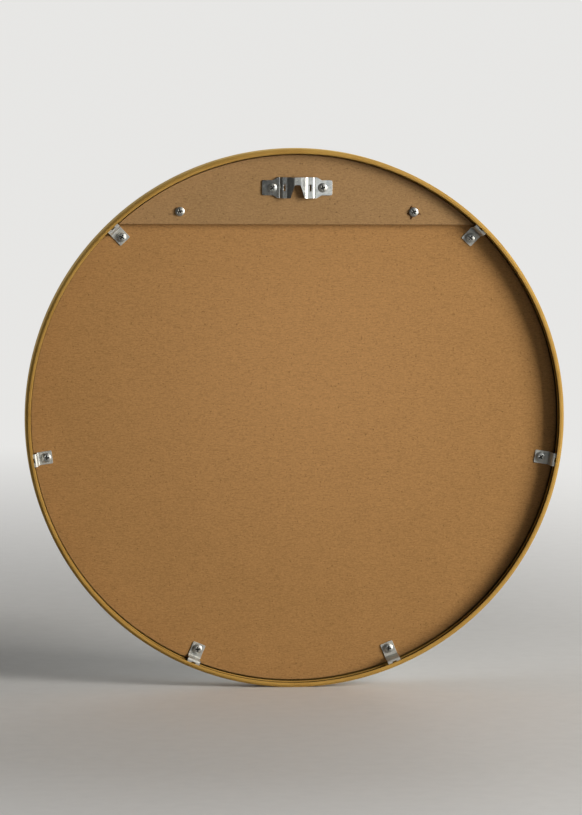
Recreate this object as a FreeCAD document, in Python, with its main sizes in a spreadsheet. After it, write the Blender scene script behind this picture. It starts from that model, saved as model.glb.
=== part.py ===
import FreeCAD, Part
import os
import Sketcher

# A round wall mirror, 500 mm across, modelled in millimetres.
# The axis of the ring is Y. The glass faces -Y, the back that hangs on the wall faces +Y and Z is up.
# The origin is on the axis of the ring, halfway through its depth.
# Left and right are as seen from behind, so left is +X.

doc = FreeCAD.newDocument("round_mirror")
sheet = doc.addObject("Spreadsheet::Sheet", "sizes")

values = {
    # Ring profile
    "ring_radius": 250.0,
    "ring_depth": 25.0,
    "ring_wall": 1.5,
    "ring_edge_round": 2.0,
    "flange_width": 4.0,
    "flange_thick": 1.5,
    "flange_edge_round": 0.5,
    "rib_lift": 5.8,
    "rib_lead": 1.0,
    "rib_thick": 1.2,
    "lip_overlap": 3.0,
    "lip_thick": 1.5,
    "seat_step": 4.0,
    # Glass and back panel
    "disc_clearance": 0.5,
    "glass_thick": 4.0,
    "glass_arris": 0.5,
    "panel_clearance": 0.4,
    "panel_thick": 5.0,
    "panel_arris": 0.8,
    # Hanger board
    "board_thick": 6.0,
    "board_inset": 1.1,
    "board_height": 63.5,
    "board_screw_spacing": 216.6,
    "board_screw_rise": 11.8,
    # Hanger plate
    "plate_drop": 29.5,
    "plate_thick": 1.2,
    "plate_length": 65.0,
    "plate_height": 19.5,
    "plate_bend": 0.6,
    "plate_screw_share": 0.3585,
    "ear_share": 0.1538,
    "ear_height": 14.0,
    "ear_taper_share": 0.0662,
    "ear_round": 1.5,
    "step_share": 0.2215,
    "step_run": 0.9,
    "step_rise": 3.0,
    "crown_share": 0.083,
    "crown_run_share": 0.0492,
    "crown_rise": 5.0,
    "notch_top": 5.3,
    "notch_mouth": 13.0,
    "notch_height": 12.3,
    "notch_round": 1.0,
    "slot_share": 0.183,
    "slot_width": 1.8,
    "slot_height": 6.0,
    # Offset clips
    "clip_inset": 11.6,
    "clip_width": 12.0,
    "clip_thick": 1.0,
    "clip_tail": 5.5,
    "clip_tail_round": 1.0,
    "clip_lean": 1.4,
    "clip_bend": 0.8,
    "clip_notch_width": 4.0,
    "clip_notch_depth": 3.2,
    "clip_tip_gap": 0.15,
    "clip_wall_clearance": 0.7,
    "clip_swing_clearance": 0.35,
    "clip_board_gap": 0.75,
    "side_clip_angle": 99.0,
    "bottom_clip_angle": 157.5,
    # Screws
    "head_radius": 4.25,
    "head_height": 2.5,
    "head_rim": 1.0,
    "shank_radius": 1.9,
    "point_length": 2.0,
    "point_cover": 1.0,
    "recess_span": 5.0,
    "recess_width": 1.1,
    "recess_depth": 1.5,
    # Fits and cuts
    "pivot_clearance": 0.08,
    "plate_hole_clearance": 0.25,
    "pilot_clearance": 0.05,
    "pilot_overrun": 0.3,
    "cut_overrun": 2.0,
    "match_gap": 0.001,
}

for row, alias in enumerate(values, start=1):
    sheet.set("A" + str(row), alias)
    sheet.set("B" + str(row), str(values[alias]))
    sheet.setAlias("B" + str(row), alias)
doc.recompute()

# Radii about the ring's axis
wall_radius = "(sizes.ring_radius - sizes.ring_wall)"
flange_radius = "(sizes.ring_radius - sizes.flange_width)"
rib_radius = f"({flange_radius} - sizes.rib_lead)"
disc_radius = f"({rib_radius} - sizes.disc_clearance)"
lip_radius = f"({disc_radius} - sizes.lip_overlap)"
panel_radius = f"({rib_radius} - sizes.panel_clearance)"
board_radius = f"({panel_radius} - sizes.board_inset)"
clip_circle = f"({panel_radius} - sizes.clip_inset)"

# Levels along the ring's axis, from the front to the back
back_plane = "(sizes.ring_depth / 2)"
front_plane = "(-sizes.ring_depth / 2)"
glass_front = f"({front_plane} + sizes.lip_thick)"
panel_front = f"({glass_front} + sizes.glass_thick)"
panel_back = f"({panel_front} + sizes.panel_thick)"
board_back = f"({panel_back} + sizes.board_thick)"
plate_back = f"({board_back} + sizes.plate_thick)"
clip_back = f"({panel_back} + sizes.clip_thick)"
seat_top = f"({panel_back} - sizes.seat_step)"
flange_under = f"({back_plane} - sizes.flange_thick)"
rib_under = f"({panel_back} + sizes.rib_lift)"
rib_top = f"({rib_under} + sizes.rib_thick)"

# Heights above the ring's axis
board_chord = f"({board_radius} - sizes.board_height)"
board_screw_level = f"({board_chord} + sizes.board_screw_rise)"
plate_level = f"({board_radius} - sizes.plate_drop)"
board_screw_side = "(sizes.board_screw_spacing / 2)"
plate_screw_side = "(sizes.plate_length * sizes.plate_screw_share)"

# A clip turns about its screw inside the rib, so its riser stays within this distance of the screw
clip_swing = f"({rib_radius} - {clip_circle} - sizes.clip_swing_clearance)"
clip_reach = f"({wall_radius} - {clip_circle} - sizes.clip_wall_clearance)"
top_clip_level = f"({board_chord} - {clip_swing} - sizes.clip_board_gap)"
top_clip_angle = f"(acos({top_clip_level} / {clip_circle}) / 1 deg)"

# A screw stops short of the panel's front face by the cover over its point
panel_grip = "(sizes.panel_thick - sizes.point_cover)"
pilot_depth = f"({panel_grip} + sizes.pilot_overrun)"
pilot_radius = "(sizes.shank_radius + sizes.pilot_clearance)"

match_gap = values["match_gap"]


def number(expression):
    """The value of an expression in the sizes of the sheet."""
    return float(sheet.evalExpression(expression))


def new_body(label):
    """An empty body with the name of its piece."""
    body = doc.addObject("PartDesign::Body", label)
    body.Label = label
    return body


def new_sketch(body, name, role, level="0"):
    """A sketch on one of the body's own planes, raised towards +Y by level on the XZ plane."""
    sketch = body.newObject("Sketcher::SketchObject", name)
    plane = [item for item in body.Origin.OriginFeatures if item.Role == role][0]
    sketch.AttachmentSupport = [(plane, "")]
    sketch.MapMode = "FlatFace"
    if level != "0":
        sketch.setExpression("AttachmentOffset.Base.z", f"-{level}")
    return sketch


def hold(sketch, kind, items, expression):
    """A dimension of a sketch that follows an expression."""
    index = sketch.addConstraint(Sketcher.Constraint(kind, *items, number(expression)))
    sketch.setExpression(f"Constraints[{index}]", expression)


def locate(sketch, geometry, point, x, y):
    """Hold a point of a sketch at a place given by two expressions."""
    for kind, axis, expression in (("DistanceX", -2, x), ("DistanceY", -1, y)):
        if expression == "0":
            sketch.addConstraint(Sketcher.Constraint("PointOnObject", geometry, point, axis))
        else:
            hold(sketch, kind, (-1, 1, geometry, point), expression)


def outline(sketch, corners):
    """A closed outline of straight lines through corners given by expressions."""
    first = sketch.GeometryCount
    count = len(corners)
    points = [FreeCAD.Vector(number(x), number(y), 0) for x, y in corners]
    for index in range(count):
        sketch.addGeometry(Part.LineSegment(points[index], points[(index + 1) % count]))
    for index in range(count):
        after = first + (index + 1) % count
        sketch.addConstraint(Sketcher.Constraint("Coincident", first + index, 2, after, 1))
    for index, (x, y) in enumerate(corners):
        locate(sketch, first + index, 1, x, y)


def circle(sketch, x, y, radius):
    """A circle whose centre and radius are given by expressions."""
    centre = FreeCAD.Vector(number(x), number(y), 0)
    index = sketch.addGeometry(Part.Circle(centre, FreeCAD.Vector(0, 0, 1), number(radius)))
    locate(sketch, index, 3, x, y)
    hold(sketch, "Radius", (index,), radius)


def pad(body, sketch, name, length, side="One side"):
    """Extrude a sketch: towards +Y from the XZ plane, or to both sides of the XY plane."""
    feature = body.newObject("PartDesign::Pad", name)
    feature.Profile = sketch
    feature.SideType = side
    feature.Reversed = side == "One side"
    feature.setExpression("Length", length)
    doc.recompute()
    return feature


def revolve(body, sketch, name):
    """Turn a sketch in the XY plane once round the Y axis."""
    feature = body.newObject("PartDesign::Revolution", name)
    feature.Profile = sketch
    feature.ReferenceAxis = (sketch, ["V_Axis"])
    feature.Angle = 360
    doc.recompute()
    return feature


def pocket(body, sketch, name, depth=None):
    """Cut a sketch on the XZ plane towards -Y by depth, or right through when no depth is given."""
    before = body.Shape.Volume
    feature = body.newObject("PartDesign::Pocket", name)
    feature.Profile = sketch
    if depth is None:
        feature.Type = "ThroughAll"
        feature.SideType = "Symmetric"
    else:
        feature.Reversed = True
        feature.setExpression("Length", depth)
    doc.recompute()
    if not body.Shape.Volume < before:
        raise RuntimeError(name + " cuts nothing")
    return feature


def straight_edges(feature, direction, places):
    """The names of a feature's straight edges that run along direction through the places."""
    names = []
    for index, edge in enumerate(feature.Shape.Edges, start=1):
        if not isinstance(edge.Curve, Part.Line):
            continue
        start = edge.Vertexes[0].Point
        if edge.Curve.Direction.cross(direction).Length > match_gap / edge.Length:
            continue
        for place in places:
            offset = start - place
            across = offset - direction * offset.dot(direction)
            if across.Length < match_gap:
                names.append("Edge" + str(index))
    return names


def round_edges(feature, radius, levels):
    """The names of a feature's circular edges about the Y axis with this radius at these levels."""
    names = []
    for index, edge in enumerate(feature.Shape.Edges, start=1):
        if not isinstance(edge.Curve, Part.Circle):
            continue
        if abs(edge.Curve.Radius - radius) > match_gap:
            continue
        if min(abs(edge.Curve.Center.y - level) for level in levels) < match_gap:
            names.append("Edge" + str(index))
    return names


def finish_edges(body, kind, feature, name, edges, amount):
    """Fillet or chamfer the named edges of a feature."""
    if not edges:
        raise RuntimeError(name + " finds no edges")
    result = body.newObject("PartDesign::" + kind, name)
    result.Base = (feature, edges)
    result.setExpression("Radius" if kind == "Fillet" else "Size", amount)
    doc.recompute()
    return result


def put(body, x="0", y="0", z="0", turn="0"):
    """Place a body by expressions, turned about the Y axis."""
    body.Placement = FreeCAD.Placement(
        FreeCAD.Vector(0, 0, 0), FreeCAD.Rotation(FreeCAD.Vector(0, 1, 0), 0)
    )
    for axis, expression in (("x", x), ("y", y), ("z", z)):
        body.setExpression("Placement.Base." + axis, expression)
    if turn != "0":
        rotation = FreeCAD.Rotation(FreeCAD.Vector(0, 1, 0), number(turn))
        body.Placement = FreeCAD.Placement(FreeCAD.Vector(0, 0, 0), rotation)
        body.setExpression("Placement.Rotation.Angle", turn)
    doc.recompute()


along_y = FreeCAD.Vector(0, 1, 0)
along_z = FreeCAD.Vector(0, 0, 1)


def at(x="0", y="0", z="0"):
    """A point given by expressions."""
    return FreeCAD.Vector(number(x), number(y), number(z))


def build_ring():
    """The rolled ring: back flange, clip groove, rib, open channel, seat for the discs and front lip."""
    body = new_body("frame_ring")
    sketch = new_sketch(body, "ring_profile", "XY_Plane")
    outline(sketch, [
        (lip_radius, front_plane),
        ("sizes.ring_radius", front_plane),
        ("sizes.ring_radius", back_plane),
        (flange_radius, back_plane),
        (flange_radius, flange_under),
        (wall_radius, flange_under),
        (wall_radius, rib_top),
        (rib_radius, rib_top),
        (rib_radius, rib_under),
        (wall_radius, rib_under),
        (wall_radius, seat_top),
        (rib_radius, seat_top),
        (rib_radius, glass_front),
        (lip_radius, glass_front),
    ])
    ring = revolve(body, sketch, "ring_revolve")
    levels = [number(front_plane), number(back_plane)]
    edges = round_edges(ring, number("sizes.ring_radius"), levels)
    rounded = finish_edges(body, "Fillet", ring, "ring_edges", edges, "sizes.ring_edge_round")
    inner = round_edges(rounded, number(flange_radius), [number(back_plane)])
    finish_edges(body, "Fillet", rounded, "flange_edge", inner, "sizes.flange_edge_round")
    put(body)
    return body


def build_glass():
    """The mirror glass: a disc with ground arrises."""
    body = new_body("mirror_glass")
    sketch = new_sketch(body, "glass_outline", "XZ_Plane")
    circle(sketch, "0", "0", disc_radius)
    disc = pad(body, sketch, "glass_pad", "sizes.glass_thick")
    edges = round_edges(disc, number(disc_radius), [0, number("sizes.glass_thick")])
    finish_edges(body, "Chamfer", disc, "glass_edges", edges, "sizes.glass_arris")
    put(body, y=glass_front)
    return body


def clip_places():
    """The names of the clips, and the angle of each about the ring's axis, from the top towards +X."""
    return [
        ("top_left", top_clip_angle),
        ("left", "sizes.side_clip_angle"),
        ("bottom_left", "sizes.bottom_clip_angle"),
        ("bottom_right", "-sizes.bottom_clip_angle"),
        ("right", "-sizes.side_clip_angle"),
        ("top_right", f"-{top_clip_angle}"),
    ]


def across(angle):
    """How far along X a clip's screw lies."""
    return f"({clip_circle} * sin({angle}))"


def upward(angle):
    """How far along Z a clip's screw lies."""
    return f"({clip_circle} * cos({angle}))"


def build_panel():
    """The fibreboard back panel, with a pilot hole for every screw."""
    body = new_body("back_panel")
    sketch = new_sketch(body, "panel_outline", "XZ_Plane")
    circle(sketch, "0", "0", panel_radius)
    disc = pad(body, sketch, "panel_pad", "sizes.panel_thick")
    edges = round_edges(disc, number(panel_radius), [number("sizes.panel_thick")])
    finish_edges(body, "Chamfer", disc, "panel_edge", edges, "sizes.panel_arris")
    holes = new_sketch(body, "panel_pilots", "XZ_Plane", "sizes.panel_thick")
    for side, angle in clip_places():
        circle(holes, across(angle), upward(angle), pilot_radius)
    for sign in ("", "-"):
        circle(holes, sign + board_screw_side, board_screw_level, pilot_radius)
        circle(holes, sign + plate_screw_side, plate_level, pilot_radius)
    pocket(body, holes, "panel_pilot_cut", pilot_depth)
    put(body, y=panel_front)
    return body


def build_board():
    """The hanger board: a segment of a disc with a straight lower edge, drilled for its screws."""
    body = new_body("hanger_board")
    sketch = new_sketch(body, "board_outline", "XZ_Plane")
    radius = number(board_radius)
    chord = number(board_chord)
    corner = (radius ** 2 - chord ** 2) ** 0.5
    right = FreeCAD.Vector(corner, chord, 0)
    left = FreeCAD.Vector(-corner, chord, 0)
    top = FreeCAD.Vector(0, radius, 0)
    sketch.addGeometry(Part.Arc(right, top, left))
    sketch.addGeometry(Part.LineSegment(left, right))
    sketch.addConstraint(Sketcher.Constraint("Coincident", 0, 2, 1, 1))
    sketch.addConstraint(Sketcher.Constraint("Coincident", 1, 2, 0, 1))
    sketch.addConstraint(Sketcher.Constraint("Coincident", 0, 3, -1, 1))
    sketch.addConstraint(Sketcher.Constraint("Horizontal", 1))
    hold(sketch, "Radius", (0,), board_radius)
    hold(sketch, "DistanceY", (-1, 1, 1, 1), board_chord)
    pad(body, sketch, "board_pad", "sizes.board_thick")
    holes = new_sketch(body, "board_holes", "XZ_Plane")
    for sign in ("", "-"):
        circle(holes, sign + board_screw_side, board_screw_level, pilot_radius)
        circle(holes, sign + plate_screw_side, plate_level, pilot_radius)
    pocket(body, holes, "board_hole_cut")
    put(body, y=panel_back)
    return body


def build_plate():
    """The stamped hanger plate: two ears, two steps and a raised crown with a tapered notch."""
    body = new_body("hanger_plate")
    thick = "sizes.plate_thick"
    end = "(sizes.plate_length / 2)"
    step_half = "(sizes.plate_length * sizes.step_share)"
    step_foot = f"({step_half} + sizes.step_run)"
    crown_half = "(sizes.plate_length * sizes.crown_share)"
    crown_run = "(sizes.plate_length * sizes.crown_run_share)"
    crown_foot = f"({crown_half} + {crown_run})"
    crown_climb = "(sizes.crown_rise - sizes.step_rise)"
    step_top = f"(sizes.step_rise + {thick})"
    crown_top = f"(sizes.crown_rise + {thick})"
    step_slant = "sqrt(sizes.step_run^2 + sizes.step_rise^2)"
    crown_slant = f"sqrt({crown_run}^2 + {crown_climb}^2)"
    step_shift = f"({thick} * ({step_slant} - sizes.step_run) / sizes.step_rise)"
    crown_shift = f"({thick} * ({crown_slant} - {crown_run}) / {crown_climb})"

    under = [
        (end, "0"),
        (step_foot, "0"),
        (step_half, "sizes.step_rise"),
        (crown_foot, "sizes.step_rise"),
        (crown_half, "sizes.crown_rise"),
    ]
    upper = [
        (end, thick),
        (f"({step_foot} + {step_shift})", thick),
        (f"({step_half} + {step_shift})", step_top),
        (f"({crown_foot} + {crown_shift})", step_top),
        (f"({crown_half} + {crown_shift})", crown_top),
    ]
    section = upper + [("-" + x, y) for x, y in reversed(upper)]
    section += [("-" + x, y) for x, y in under] + list(reversed(under))
    sketch = new_sketch(body, "plate_section", "XY_Plane")
    outline(sketch, section)
    strip = pad(body, sketch, "plate_pad", "sizes.plate_height", "Symmetric")

    inner = [upper[1], under[2], upper[3], under[4]]
    outer = [under[1], upper[2], under[3], upper[4]]
    signs = ("", "-")
    inner_places = [at(sign + x, y) for x, y in inner for sign in signs]
    outer_places = [at(sign + x, y) for x, y in outer for sign in signs]
    inner_edges = straight_edges(strip, along_z, inner_places)
    bent = finish_edges(body, "Fillet", strip, "plate_inner_bends", inner_edges, "sizes.plate_bend")
    outer_edges = straight_edges(bent, along_z, outer_places)
    outer_bend = f"(sizes.plate_bend + {thick})"
    finish_edges(body, "Fillet", bent, "plate_outer_bends", outer_edges, outer_bend)

    half = "(sizes.plate_height / 2)"
    ear_half = "(sizes.ear_height / 2)"
    ear_start = f"({end} - sizes.plate_length * sizes.ear_share)"
    taper_start = f"({ear_start} - sizes.plate_length * sizes.ear_taper_share)"
    beyond_end = f"({end} + sizes.cut_overrun)"
    beyond_half = f"({half} + sizes.cut_overrun)"
    corners = new_sketch(body, "plate_ear_corners", "XZ_Plane")
    for side in signs:
        for rise in signs:
            outline(corners, [
                (side + taper_start, rise + half),
                (side + ear_start, rise + ear_half),
                (side + beyond_end, rise + ear_half),
                (side + beyond_end, rise + beyond_half),
                (side + taper_start, rise + beyond_half),
            ])
    ears = pocket(body, corners, "plate_ear_cut")
    ear_places = [at(side + end, "0", rise + ear_half) for side in signs for rise in signs]
    ear_edges = straight_edges(ears, along_y, ear_places)
    finish_edges(body, "Fillet", ears, "plate_ear_rounds", ear_edges, "sizes.ear_round")

    notch_top = "(sizes.notch_top / 2)"
    notch_mouth = "(sizes.notch_mouth / 2)"
    apex = f"(sizes.notch_height - {half})"
    notch = new_sketch(body, "plate_notch", "XZ_Plane")
    outline(notch, [
        (notch_top, apex),
        (notch_mouth, "-" + half),
        (notch_mouth, "-" + beyond_half),
        ("-" + notch_mouth, "-" + beyond_half),
        ("-" + notch_mouth, "-" + half),
        ("-" + notch_top, apex),
    ])
    notched = pocket(body, notch, "plate_notch_cut")
    apex_places = [at(side + notch_top, "0", apex) for side in signs]
    apex_edges = straight_edges(notched, along_y, apex_places)
    finish_edges(body, "Fillet", notched, "plate_notch_rounds", apex_edges, "sizes.notch_round")

    slots = new_sketch(body, "plate_slots", "XZ_Plane")
    slot_middle = "(sizes.plate_length * sizes.slot_share)"
    slot_in = f"({slot_middle} - sizes.slot_width / 2)"
    slot_out = f"({slot_middle} + sizes.slot_width / 2)"
    slot_half = "(sizes.slot_height / 2)"
    for side in signs:
        outline(slots, [
            (side + slot_in, slot_half),
            (side + slot_out, slot_half),
            (side + slot_out, "-" + slot_half),
            (side + slot_in, "-" + slot_half),
        ])
        circle(slots, side + plate_screw_side, "0", "(sizes.shank_radius + sizes.plate_hole_clearance)")
    pocket(body, slots, "plate_slot_cut")
    put(body, y=board_back, z=plate_level)
    return body


def build_clip(side, angle):
    """An offset clip: a pad on the panel, a riser and a notched tip that reaches under the flange."""
    body = new_body("clip_" + side)
    thick = "sizes.clip_thick"
    half = "(sizes.clip_width / 2)"
    tail = "-sizes.clip_tail"
    tip_under = f"({flange_under} - sizes.clip_tip_gap - {thick} - {panel_back})"
    tip_back = f"({tip_under} + {thick})"
    riser_top = f"sqrt({clip_swing}^2 - {half}^2)"
    riser_foot = f"({riser_top} - sizes.clip_lean)"
    lean = f"(sizes.clip_lean / {tip_under})"
    inner_shift = f"({thick} * {lean} - {thick} * sqrt(1 + {lean}^2))"
    inner_foot = f"({riser_foot} + {inner_shift})"
    inner_top = f"({riser_top} + {inner_shift})"
    sketch = new_sketch(body, f"clip_{side}_section", "XY_Plane")
    outline(sketch, [
        (tail, "0"),
        (riser_foot, "0"),
        (riser_top, tip_under),
        (clip_reach, tip_under),
        (clip_reach, tip_back),
        (inner_top, tip_back),
        (inner_foot, thick),
        (tail, thick),
    ])
    strip = pad(body, sketch, f"clip_{side}_pad", "sizes.clip_width", "Symmetric")
    inner_places = [at(inner_foot, thick), at(riser_top, tip_under)]
    inner_edges = straight_edges(strip, along_z, inner_places)
    bent = finish_edges(body, "Fillet", strip, f"clip_{side}_inner_bends", inner_edges, "sizes.clip_bend")
    outer_places = [at(riser_foot, "0"), at(inner_top, tip_back)]
    outer_edges = straight_edges(bent, along_z, outer_places)
    outer_bend = f"(sizes.clip_bend + {thick})"
    folded = finish_edges(body, "Fillet", bent, f"clip_{side}_outer_bends", outer_edges, outer_bend)
    tail_places = [at(tail, "0", half), at(tail, "0", "-" + half)]
    tail_edges = straight_edges(folded, along_y, tail_places)
    finish_edges(body, "Fillet", folded, f"clip_{side}_tail", tail_edges, "sizes.clip_tail_round")

    # The end of the tip is an arc about the screw, so it clears the ring's wall at every angle
    beyond_half = f"({half} + sizes.cut_overrun)"
    beyond_reach = f"({clip_reach} + sizes.cut_overrun)"
    arc_end = f"sqrt({clip_reach}^2 - {beyond_half}^2)"
    low = at(arc_end, "-" + beyond_half)
    high = at(arc_end, beyond_half)
    far_high = at(beyond_reach, beyond_half)
    far_low = at(beyond_reach, "-" + beyond_half)
    trim = new_sketch(body, f"clip_{side}_trim", "XZ_Plane")
    trim.addGeometry(Part.Arc(low, at(clip_reach), high))
    trim.addGeometry(Part.LineSegment(high, far_high))
    trim.addGeometry(Part.LineSegment(far_high, far_low))
    trim.addGeometry(Part.LineSegment(far_low, low))
    trim.addConstraint(Sketcher.Constraint("Coincident", 0, 3, -1, 1))
    for index in range(4):
        trim.addConstraint(Sketcher.Constraint("Coincident", index, 2, (index + 1) % 4, 1))
    hold(trim, "Radius", (0,), clip_reach)
    hold(trim, "DistanceY", (-1, 1, 0, 2), beyond_half)
    hold(trim, "DistanceY", (-1, 1, 0, 1), "-" + beyond_half)
    locate(trim, 2, 1, beyond_reach, beyond_half)
    locate(trim, 2, 2, beyond_reach, "-" + beyond_half)
    pocket(body, trim, f"clip_{side}_trim_cut")

    cuts = new_sketch(body, f"clip_{side}_cuts", "XZ_Plane")
    notch_start = f"({clip_reach} - sizes.clip_notch_depth)"
    notch_half = "(sizes.clip_notch_width / 2)"
    outline(cuts, [
        (notch_start, "-" + notch_half),
        (beyond_reach, "-" + notch_half),
        (beyond_reach, notch_half),
        (notch_start, notch_half),
    ])
    circle(cuts, "0", "0", "(sizes.shank_radius + sizes.pivot_clearance)")
    pocket(body, cuts, f"clip_{side}_cut")
    put(body, across(angle), panel_back, upward(angle), f"({angle} - 90)")
    return body


def build_screw(label, grip, x, y, z):
    """A pan-head screw that points along -Y, with a cross recess, set with its seat at a place."""
    body = new_body(label)
    length = f"({grip} + {panel_grip})"
    sketch = new_sketch(body, label + "_profile", "XY_Plane")
    corners = [
        at("0", "sizes.head_height"),
        at("0", "-" + length),
        at("sizes.shank_radius", f"(sizes.point_length - {length})"),
        at("sizes.shank_radius"),
        at("sizes.head_radius"),
        at("sizes.head_radius", "sizes.head_rim"),
    ]
    for index in range(5):
        sketch.addGeometry(Part.LineSegment(corners[index], corners[index + 1]))
    dome = number("sizes.head_height - sizes.head_rim")
    dome_radius = (number("sizes.head_radius") ** 2 + dome ** 2) / (2 * dome)
    centre = FreeCAD.Vector(0, number("sizes.head_height") - dome_radius, 0)
    ring = Part.Circle(centre, FreeCAD.Vector(0, 0, 1), dome_radius)
    sketch.addGeometry(Part.ArcOfCircle(ring, ring.parameter(corners[5]), ring.parameter(corners[0])))
    for index in range(6):
        sketch.addConstraint(Sketcher.Constraint("Coincident", index, 2, (index + 1) % 6, 1))
    sketch.addConstraint(Sketcher.Constraint("PointOnObject", 5, 3, -2))
    locate(sketch, 0, 1, "0", "sizes.head_height")
    locate(sketch, 0, 2, "0", "-" + length)
    locate(sketch, 1, 2, "sizes.shank_radius", f"(sizes.point_length - {length})")
    locate(sketch, 2, 2, "sizes.shank_radius", "0")
    locate(sketch, 3, 2, "sizes.head_radius", "0")
    locate(sketch, 4, 2, "sizes.head_radius", "sizes.head_rim")
    revolve(body, sketch, label + "_revolve")
    span = "(sizes.recess_span / 2)"
    wing = "(sizes.recess_width / 2)"
    quarter = [(span, wing), (wing, wing), (wing, span)]
    cross = quarter + [("-" + u, v) for u, v in reversed(quarter)]
    cross += [("-" + u, "-" + v) for u, v in quarter] + [(u, "-" + v) for u, v in reversed(quarter)]
    recess = new_sketch(body, label + "_recess", "XZ_Plane", "sizes.head_height")
    outline(recess, cross)
    pocket(body, recess, label + "_recess_cut", "sizes.recess_depth")
    put(body, x, y, z)
    return body


pieces = [build_ring(), build_glass(), build_panel(), build_board(), build_plate()]
for side, sign in (("left", ""), ("right", "-")):
    board_place = (sign + board_screw_side, board_back, board_screw_level)
    plate_place = (sign + plate_screw_side, plate_back, plate_level)
    plate_grip = "(sizes.plate_thick + sizes.board_thick)"
    pieces.append(build_screw("board_screw_" + side, "sizes.board_thick", *board_place))
    pieces.append(build_screw("plate_screw_" + side, plate_grip, *plate_place))
for side, angle in clip_places():
    clip_place = (across(angle), clip_back, upward(angle))
    pieces.append(build_clip(side, angle))
    pieces.append(build_screw("clip_screw_" + side, "sizes.clip_thick", *clip_place))

doc.recompute()
for item in doc.Objects:
    if "Invalid" in item.State or "Error" in item.State:
        raise RuntimeError(item.Label + " failed: " + str(item.State))
for piece in pieces:
    if piece.Shape.isNull() or not piece.Shape.isValid():
        raise RuntimeError(piece.Label + " has no valid shape")
    if len(piece.Shape.Solids) != 1:
        raise RuntimeError(piece.Label + " is not one solid")

os.makedirs("parts", exist_ok=True)
for piece in pieces:
    piece.Shape.exportStep("parts/" + piece.Label + ".step")
    print(piece.Label, round(piece.Shape.Volume, 2))
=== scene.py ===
import math

import bmesh
import bpy
import numpy as np
from mathutils import Matrix, Vector


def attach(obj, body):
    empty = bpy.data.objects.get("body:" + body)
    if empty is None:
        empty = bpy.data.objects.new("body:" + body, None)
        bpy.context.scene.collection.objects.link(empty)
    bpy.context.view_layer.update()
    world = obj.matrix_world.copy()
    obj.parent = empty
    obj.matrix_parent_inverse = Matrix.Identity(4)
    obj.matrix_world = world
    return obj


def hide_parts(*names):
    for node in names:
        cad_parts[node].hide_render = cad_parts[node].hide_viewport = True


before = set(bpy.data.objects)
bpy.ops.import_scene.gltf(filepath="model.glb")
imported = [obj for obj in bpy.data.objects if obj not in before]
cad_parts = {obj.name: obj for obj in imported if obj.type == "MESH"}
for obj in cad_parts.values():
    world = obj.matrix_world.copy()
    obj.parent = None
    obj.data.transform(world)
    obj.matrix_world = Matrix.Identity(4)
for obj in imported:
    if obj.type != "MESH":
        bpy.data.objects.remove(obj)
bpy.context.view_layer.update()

# Lengths are in millimetres, as on the drawing, and become metres when a surface is laid.
MM = 0.001
BESIDE_ARC = 0.15
SHEARED_ANGLE = math.radians(50)

# Ring: radii about its axis, levels along the axis (the back is +Y)
RING_RADIUS = 249.97
WALL_RADIUS = 248.5
FLANGE_RADIUS = 245.75
RIB_RADIUS = 245.0
LIP_RADIUS = 241.5
BACK_LEVEL = 12.5
FLANGE_UNDER = 11.0
RIB_TOP = 5.0
RIB_UNDER = 3.8
SEAT_TOP = -6.0
GLASS_FRONT = -11.0
FRONT_LEVEL = -12.5
RING_EDGE_ROUND = 2.0
BACK_SLOPE_WIDTH = 2.1
BACK_SLOPE_DROP = 1.9
BACK_SLOPE_FOOT_ROUND = 1.0
BACK_SLOPE_TOP_ROUND = 0.35
FLANGE_EDGE_ROUND = 0.5
FLANGE_UNDER_ROUND = 0.25
LIP_EDGE_ROUND = 0.5
GLASS_SEAT_ROUND = 0.2
INNER_ROUND = 0.3
RING_STEPS = 641
SEAM_DEPTH = 0.3
SEAM_WIDTH = 0.22
SEAM_REACH = 0.9
SEAM_STEPS = 37

# Back panel: a disc behind the glass
PANEL_RADIUS = 244.5
PANEL_BACK = -2.0
PANEL_FRONT = -7.0
PANEL_EDGE = 0.3
PANEL_ROUNDS = np.array([0.2, 0.2, 0.3])
PANEL_FLAT_END = 238.0
PANEL_EDGE_START = 240.0
PANEL_STEPS = 481

# Hanger board: a segment of a disc on the panel
BOARD_RADIUS = 244.2
BOARD_CHORD = 180.0
BOARD_BACK = 4.0
BOARD_FACE_INSETS = (20.0, 8.0, 2.0, 0.7)
BOARD_EDGE_ROUND = 0.5
BOARD_SIDE_START = 0.7
BOARD_FOOT_EDGE = 0.3
BOARD_ARC_STEPS = 181
BOARD_CHORD_STEPS = 61

# Hanger plate: half of its fold line, as distance from the middle and height over the board
PLATE_THICK = 1.2
PLATE_LEVEL = 214.0
PLATE_END = 32.5
PLATE_HALF_HEIGHT = 9.75
EAR_HALF_HEIGHT = 7.0
EAR_START = 22.5
EAR_TAPER_START = 18.2
EAR_ROUND = 1.5
EAR_FOOT = 16.6
EAR_LEAN = math.radians(2.7)
STRIP_LEAN = math.radians(1.6)
PLATE_FOLDS = np.array([(32.5, 0.0), (15.3, 0.0), (14.4, 3.0), (8.9, 3.0), (7.4, 4.1), (3.6, 5.0)])
PLATE_BEND = 0.6
FLANK_BEND = 1.6
CROWN_BEND = 7.0
NOTCH_OUTLINE = np.array([(-6.5, -9.75), (-2.65, 2.55), (2.65, 2.55), (6.5, -9.75)])
NOTCH_ROUND = 1.0
SLOT_IN = 11.0
SLOT_OUT = 12.8
SLOT_HALF = 3.0
PLATE_STEP = 0.3
PLATE_COLUMNS = 120
PLATE_ROWS = 25
PLATE_BROKEN_EDGE = 0.22

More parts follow.
